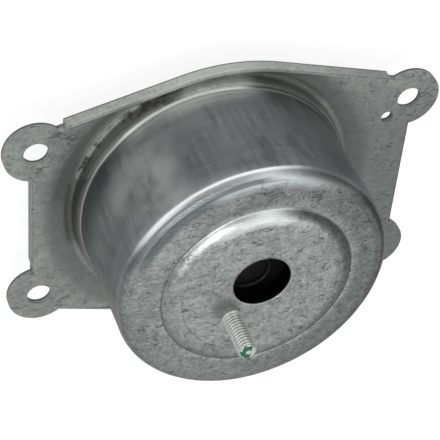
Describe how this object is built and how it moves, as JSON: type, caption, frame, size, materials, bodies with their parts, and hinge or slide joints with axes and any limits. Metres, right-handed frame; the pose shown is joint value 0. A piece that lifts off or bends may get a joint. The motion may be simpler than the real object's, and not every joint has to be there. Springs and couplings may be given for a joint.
{
  "type": "hydraulic engine mount",
  "caption": "Hydraulic engine mount: a drawn steel can on a pressed mounting plate with round ears, a locating stud, and a rubber spring with its core inside.",
  "frame": {"origin": "mouth of the core's threaded hole, in the middle of the core's flat end face, on the can's axis", "axes": "+Z along the can's axis towards the closed face and the stud; +X along the mounting plate's long side, towards the ear with the small locating hole"},
  "size_m": [0.1647, 0.1151, 0.0868],
  "materials": {
    "galvanised_can": "galvanised, satin, scuffed",
    "galvanised_plate": "galvanised, fine crackle, stained",
    "zinc_stud": "zinc plated thread",
    "cast_aluminium": "cast, matte",
    "spring_rubber": "moulded, matte",
    "diaphragm_rubber": "moulded, satin",
    "ring_steel": "plain, phosphated"
  },
  "bodies": {
    "root": {"housing_can": "galvanised_can", "mounting_plate": "galvanised_plate", "locating_stud": "zinc_stud", "inner_core": "cast_aluminium", "rubber_spring": "spring_rubber", "spring_outer_ring": "ring_steel", "channel_plate_spring_side": "cast_aluminium", "channel_plate_diaphragm_side": "cast_aluminium", "decoupler_membrane": "diaphragm_rubber", "diaphragm": "diaphragm_rubber", "diaphragm_ring": "ring_steel"}
  },
  "joints": []
}
